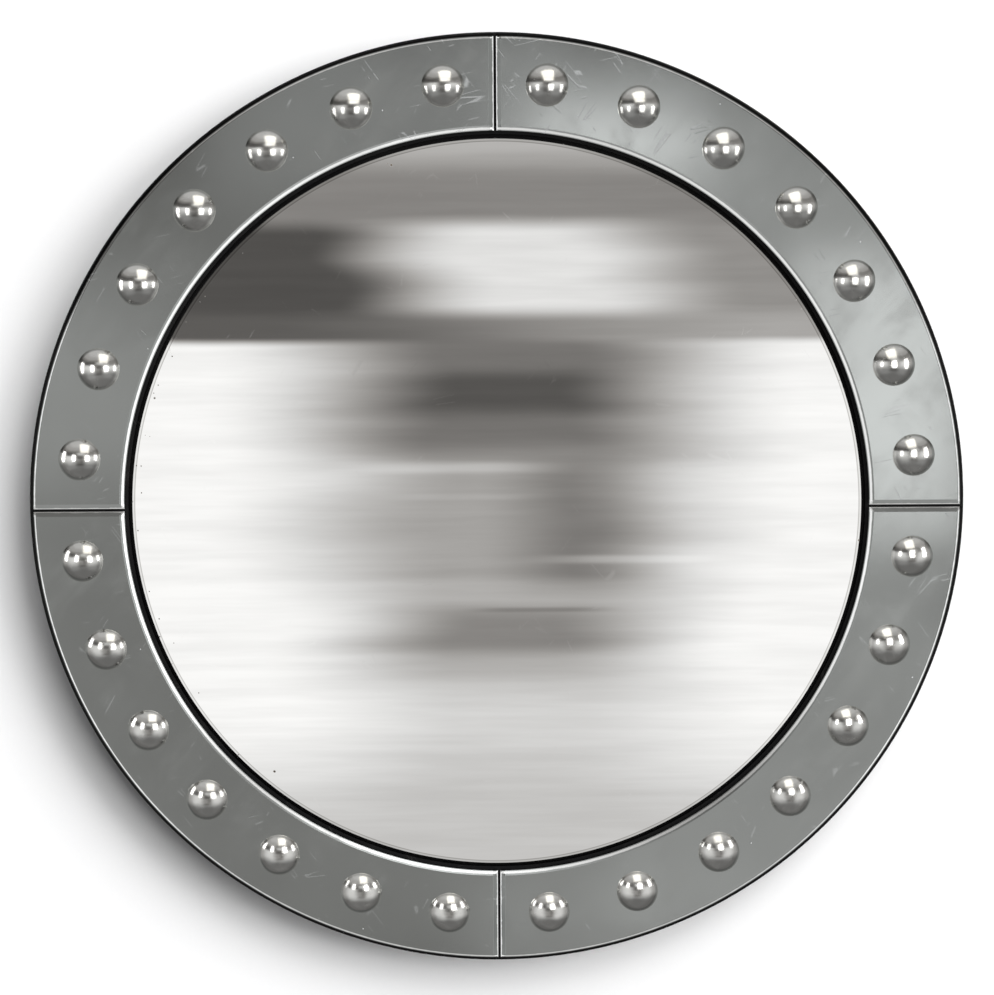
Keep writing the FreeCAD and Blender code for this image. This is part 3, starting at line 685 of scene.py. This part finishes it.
def make_room():
    """World: white to the camera, low even light to matt surfaces, and a soft bright room to polished ones.

    The room is a function of direction: white side walls, a shadowed middle, a brown soffit band with a
    bright opening in it, and a pale ceiling and floor. Its lines follow height and azimuth, the direction's
    own angles bent a little: height = rise + turn^2 (0.00048 + 0.0000359 rise) and azimuth =
    turn (1 - 0.00012 (rise + 0.65)^2), so that the bulged dish shows the room's level lines level.
    """
    world = bpy.data.worlds.new("studio room")
    bpy.context.scene.world = world
    world.use_nodes = True
    world.node_tree.nodes.clear()
    n = Nodes(world.node_tree)
    ray = n.add("ShaderNodeTexCoord").outputs["Generated"]
    x, y, z = n.add("ShaderNodeSeparateXYZ", {0: ray}).outputs
    turn = n.math("DEGREES", n.math("ARCTAN2", x, n.times(y, -1.0)))
    rise = n.math("DEGREES", n.math("ARCSINE", z))
    near = n.math("MINIMUM", n.math("POWER", turn, 2.0), 2800.0)
    curl = n.plus(n.times(rise, 0.0000359), 0.00048)
    height = n.plus(rise, n.times(near, curl))
    pinch = n.times(n.math("POWER", n.plus(rise, 0.65), 2.0), 0.00012)
    azimuth = n.times(turn, n.minus(1.0, n.math("MINIMUM", pinch, 0.35)))
    level = n.add("ShaderNodeCombineXYZ", {"X": n.times(azimuth, 0.012),
                                           "Y": n.times(height, 0.2)}).outputs[0]
    shift = n.ramp(n.noise(level, 0.8, 1.0, 0.4), 0.25, 0.75, -3.0, 3.0)
    streaks = n.ramp(n.noise(level, 2.6, 3.0, 0.6), 0.25, 0.75, 0.94, 1.05)

    # side walls, and the soft grey patch between them with its darker heart
    reach = n.ramp(height, -9.0, -19.0, 40.0, 33.0)
    off_middle = n.plus(n.absolute(n.minus(azimuth, 2.0)), shift)
    patch = n.ramp(n.math("DIVIDE", off_middle, reach), 1.0, 0.19)
    heart = n.ramp(height, 3.5, -1.5, 0.19, 0.4)
    heart = n.between(n.ramp(height, -24.0, -33.0), heart, 0.7)
    heart = n.between(n.ramp(height, -34.0, -44.0), heart, 0.6)
    for line, thick, change in ((9.0, 4.0, -0.09), (-16.8, 2.5, 0.07), (-22.0, 4.0, -0.14)):
        band = n.ramp(n.absolute(n.minus(height, line)), thick, thick * 0.3)
        heart = n.plus(heart, n.times(band, change))
    walls = n.ramp(height, -33.0, -52.0, 0.99, 0.62)
    tone = n.between(patch, walls, heart)
    right_of_middle = n.ramp(n.absolute(n.minus(azimuth, 12.0)), 15.0, 1.0)
    lower = n.times(n.ramp(height, 2.0, -2.0), n.ramp(height, -19.0, -14.0))
    tone = n.minus(tone, n.times(n.times(right_of_middle, lower), 0.18))
    # thin level streaks: height, thickness, azimuth of the middle, half length and change of tone
    for line, thick, centre, half, gain in ((-0.6, 1.1, -6.0, 18.0, 0.14), (-12.6, 0.8, 18.0, 16.0, 0.16),
                                            (-4.4, 0.6, -4.0, 14.0, 0.05), (-19.2, 0.5, 6.0, 12.0, -0.1)):
        thin = n.ramp(n.absolute(n.minus(height, line)), thick, thick * 0.15)
        long = n.ramp(n.absolute(n.minus(azimuth, centre)), half, 4.0)
        tone = n.plus(tone, n.times(n.times(thin, long), gain))
    tone = n.between(n.ramp(n.absolute(turn), 52.0, 88.0), tone, 0.5)
    # soffit, the opening in it, and the ceiling
    soffit = n.ramp(azimuth, -30.0, 42.0, 0.12, 0.42)
    tone = n.between(n.ramp(height, 14.9, 16.3), tone, soffit)
    beside = n.ramp(azimuth, -24.0, 36.0, 0.09, 0.31)
    across = n.absolute(n.minus(azimuth, n.ramp(height, 30.0, 18.0, 2.4, 8.0)))
    opening = n.between(n.ramp(n.plus(across, shift), 5.0, 27.0), 0.81, beside)
    tone = n.between(n.ramp(height, 18.0, 20.5), tone, opening)
    tone = n.between(n.ramp(height, 29.5, 32.5), tone, 0.26)
    tone = n.between(n.ramp(height, 36.0, 43.0), tone, 0.52)
    tone = n.between(n.ramp(height, 50.0, 64.0), tone, 0.7)
    tone = n.times(tone, streaks)
    # warmer where it is darker, and what each kind of ray sees
    warm = n.blend(n.ramp(tone, 0.1, 0.8), (1.0, 0.955, 0.91), (1.0, 0.995, 0.985))
    room = n.add("ShaderNodeBackground", {"Color": warm, "Strength": tone}).outputs[0]
    behind = n.ramp(y, 0.0, 0.25, 0.07, 0.9)
    plain = n.add("ShaderNodeBackground", {"Color": (1.0, 1.0, 1.0, 1.0), "Strength": behind}).outputs[0]
    white = n.add("ShaderNodeBackground", {"Color": (1.0, 1.0, 1.0, 1.0), "Strength": 1.0}).outputs[0]
    path = n.add("ShaderNodeLightPath").outputs
    seen = n.add("ShaderNodeMixShader", {0: path["Is Glossy Ray"], 1: plain, 2: room}).outputs[0]
    seen = n.add("ShaderNodeMixShader", {0: path["Is Camera Ray"], 1: seen, 2: white}).outputs[0]
    n.add("ShaderNodeOutputWorld", {"Surface": seen})


def make_wall():
    """White wall that the mirror hangs on, clear from behind, so that the mirror's back can be seen."""
    half = 3.0
    corners = [(-half, WALL, -half), (half, WALL, -half), (half, WALL, half), (-half, WALL, half)]
    mesh = bpy.data.meshes.new("wall")
    mesh.from_pydata(corners, [], [(0, 1, 2, 3)])
    wall = bpy.data.objects.new("wall", mesh)
    bpy.context.scene.collection.objects.link(wall)
    material = bpy.data.materials.new("white wall")
    material.use_nodes = True
    material.node_tree.nodes.clear()
    n = Nodes(material.node_tree)
    place = n.add("ShaderNodeTexCoord").outputs["Object"]
    grain = n.noise(place, 300.0, 2.0)
    tone = n.blend(grain, (0.84, 0.84, 0.845), (0.86, 0.86, 0.86))
    paint = n.add("ShaderNodeBsdfDiffuse", {"Color": tone})
    lift = n.add("ShaderNodeEmission", {"Color": (1.0, 1.0, 1.0, 1.0), "Strength": 0.05})
    front = n.add("ShaderNodeAddShader", {0: paint.outputs[0], 1: lift.outputs[0]}).outputs[0]
    clear = n.add("ShaderNodeBsdfTransparent").outputs[0]
    behind = n.add("ShaderNodeNewGeometry").outputs["Backfacing"]
    shown = n.add("ShaderNodeMixShader", {0: behind, 1: front, 2: clear}).outputs[0]
    n.add("ShaderNodeOutputMaterial", {"Surface": shown})
    mesh.materials.append(material)
    wall.visible_diffuse = wall.visible_glossy = wall.visible_transmission = wall.visible_shadow = False


def make_lamp(name, place, target, width, height, radiance, colour=(1.0, 1.0, 1.0)):
    """Rectangular lamp of an even brightness, whose power is pi times its area times its radiance."""
    light = bpy.data.lights.new(name, "AREA")
    light.shape = "RECTANGLE"
    light.size, light.size_y = width, height
    light.energy = math.pi * width * height * radiance
    light.color = colour
    lamp = bpy.data.objects.new(name, light)
    lamp.location = place
    lamp.rotation_euler = (Vector(target) - Vector(place)).to_track_quat("-Z", "Y").to_euler()
    bpy.context.scene.collection.objects.link(lamp)
    return lamp


# Name, degrees off the mirror's axis, degrees round it from the right, spread in degrees, and strength.
SHADOW_LAMPS = (("right lamp", 62, 4, 64, 2.1),
                ("upper lamp", 62, 70, 64, 2.1),
                ("low right lamp", 71, 12, 36, 2.7),
                ("low upper lamp", 71, 60, 36, 2.7))
WINDOW_DISTANCE = 1.1
WINDOW_HEIGHT = 0.14
WINDOW_RADIANCE = 5.0
# Azimuth in degrees, width and height.
WINDOWS = ((-84, 0.22, 0.44), (-42, 0.24, 0.44), (20, 0.42, 0.54), (70, 0.26, 0.5))
# Name, place across and up, width, height and radiance. All stand beside the camera.
PLATE_LAMP_DEPTH = -1.63
PLATE_LAMPS = (("plate lamp right", 0.62, -0.01, 0.3, 0.45, 1.4),
               ("plate lamp low right", 0.5, -0.64, 0.6, 0.7, 0.35),
               ("plate lamp below", 0.12, -0.86, 0.3, 0.2, 0.28),
               ("plate lamp top right", 0.4, 0.36, 0.7, 0.3, 0.35),
               ("plate lamp by the seam", 0.2, 0.39, 0.28, 0.11, 1.6),
               ("plate lamp top left", -0.15, 0.46, 0.6, 0.3, 0.3),
               ("plate lamp left", -0.62, 0.0, 0.3, 0.3, 0.25))


def make_lamps(studs, plates):
    """Broad lamps for the wall's shadow, windows and a ceiling for the domes, and panels for the plates."""
    for name, slant, turn, spread, strength in SHADOW_LAMPS:
        light = bpy.data.lights.new(name, "SUN")
        light.angle = math.radians(spread)
        light.energy = strength
        slant, turn = math.radians(slant), math.radians(turn)
        reach = math.sin(slant)
        towards = Vector((reach * math.cos(turn), -math.cos(slant), reach * math.sin(turn)))
        lamp = bpy.data.objects.new(name, light)
        lamp.rotation_euler = towards.to_track_quat("Z", "Y").to_euler()
        lamp.visible_glossy = False
        bpy.context.scene.collection.objects.link(lamp)
    domes = bpy.data.collections.new("domes lit by the windows")
    domes.objects.link(studs)
    for number, (azimuth, width, height) in enumerate(WINDOWS, start=1):
        place = direction(azimuth, 0) * WINDOW_DISTANCE + Vector((0, 0, WINDOW_HEIGHT))
        lamp = make_lamp("window %d" % number, place, (0, 0, 0.1), width, height, WINDOW_RADIANCE,
                         (1.0, 0.99, 0.97))
        lamp.light_linking.receiver_collection = domes
    place = direction(10, 0) * 0.78 + Vector((0, 0, 1.12))
    lamp = make_lamp("warm ceiling lamp", place, (0, 0, 0.1), 0.95, 1.05, 1.45, (1.0, 0.965, 0.88))
    lamp.light_linking.receiver_collection = domes
    quarters = bpy.data.collections.new("plates lit by the panels")
    for plate in plates:
        quarters.objects.link(plate)
    for name, x, z, width, height, radiance in PLATE_LAMPS:
        place, target = (x, PLATE_LAMP_DEPTH, z), (x / 2, 0, z / 2)
        lamp = make_lamp(name, place, target, width, height, radiance)
        lamp.light_linking.receiver_collection = quarters


def make_camera():
    """Camera of the photograph, its place and lens fitted to the circles of the plates, dish and studs."""
    azimuth, elevation, roll, distance = -0.236, 6.268, -0.31, 1.638
    target = Vector((0, 0, 0.0064))
    image_width, focal_pixels = 994, 2019
    data = bpy.data.cameras.new("camera")
    data.sensor_width = 36.0
    data.lens = focal_pixels / image_width * data.sensor_width
    data.clip_start, data.clip_end = 0.05, 50.0
    camera = bpy.data.objects.new("camera", data)
    camera.location = target + direction(azimuth, elevation) * distance
    aim = (target - camera.location).to_track_quat("-Z", "Y")
    camera.rotation_euler = (aim @ Quaternion((0, 0, 1), math.radians(roll))).to_euler()
    bpy.context.scene.collection.objects.link(camera)
    bpy.context.scene.camera = camera


# ---------------------------------------------------------------- the whole mirror

scratches, smudges = hairline_scratches(), wiped_smudges()
make_board(board_paint(scratches, smudges))
glass = plate_glass(scratches, smudges)
plates = [make_plate("plate_" + corner_name, quarter, glass)
          for quarter, corner_name in enumerate(("top_right", "bottom_right", "bottom_left", "top_left"))]
make_dish(dish_glass(scratches, smudges))
studs = make_studs(dome_chrome(scratches, smudges))
make_bumpers(rubber(smudges))
steel = zinc_steel("zinc plated hanger", scratches, smudges, (0.62, 0.63, 0.64))
yellow_zinc = zinc_steel("yellow zinc screw", scratches, smudges, (0.68, 0.6, 0.38))
tape = foam(smudges)
for side in ("left", "right"):
    hinge = HINGES[side + "_ring"]
    make_ring(side, hinge, steel)
    for number, drop in enumerate(SCREW_DROPS, start=1):
        make_screw("screw_%s_%d" % (side, number), hinge[0], hinge[2] - drop, yellow_zinc)
for node, finish in (("hanger_strap_left", steel), ("hanger_strap_right", steel), ("rim_tape_pads", tape)):
    frame["nodes"][node].data.materials.clear()
    frame["nodes"][node].data.materials.append(finish)

make_room()
make_wall()
make_lamps(studs, plates)
make_camera()

bpy.context.scene.view_settings.view_transform = "Standard"
